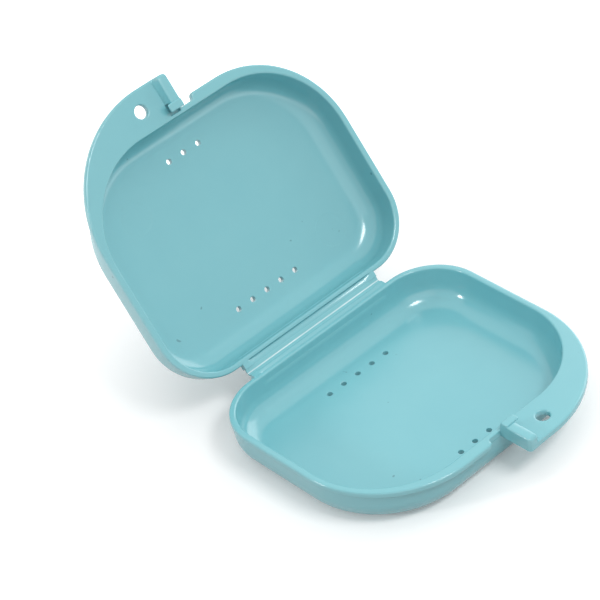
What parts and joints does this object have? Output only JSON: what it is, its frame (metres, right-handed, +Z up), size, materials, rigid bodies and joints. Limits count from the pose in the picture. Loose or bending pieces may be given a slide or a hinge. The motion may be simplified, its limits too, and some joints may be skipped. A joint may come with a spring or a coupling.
{
  "type": "orthodontic retainer case",
  "caption": "Shallow clamshell case for a dental retainer: equal rounded trays on a living hinge, vented floors, and snap latches on crescent tabs with lanyard holes.",
  "frame": {"origin": "middle of the flat underside of the base, which lies on a table", "axes": "+Z up out of the base's mouth, -Y towards the base's ear and latch, +X along the hinge towards the side of the base's ear"},
  "size_m": [0.081, 0.1211, 0.0734],
  "materials": {
    "polypropylene": "semi-gloss, moulded in colour",
    "hinge_crease": "the same plastic, whitened where it is stretched"
  },
  "bodies": {
    "base": {"base_tray": "polypropylene", "base_rim": "polypropylene", "base_ear": "polypropylene", "base_latch_hook": "polypropylene", "base_hinge_leaf": "polypropylene", "hinge_film": "hinge_crease"},
    "lid": {"lid_hinge_leaf": "polypropylene", "lid_tray": "polypropylene", "lid_rim": "polypropylene", "lid_ear": "polypropylene", "lid_latch_hook": "polypropylene"}
  },
  "joints": [
    {"name": "lid_hinge", "type": "hinge", "parent": "base", "child": "lid", "pos_m": [0, 0.03385, 0.0116], "axis": [-1, 0, 0], "range_deg": [-126, 54], "deforming": ["hinge_film"]}
  ]
}
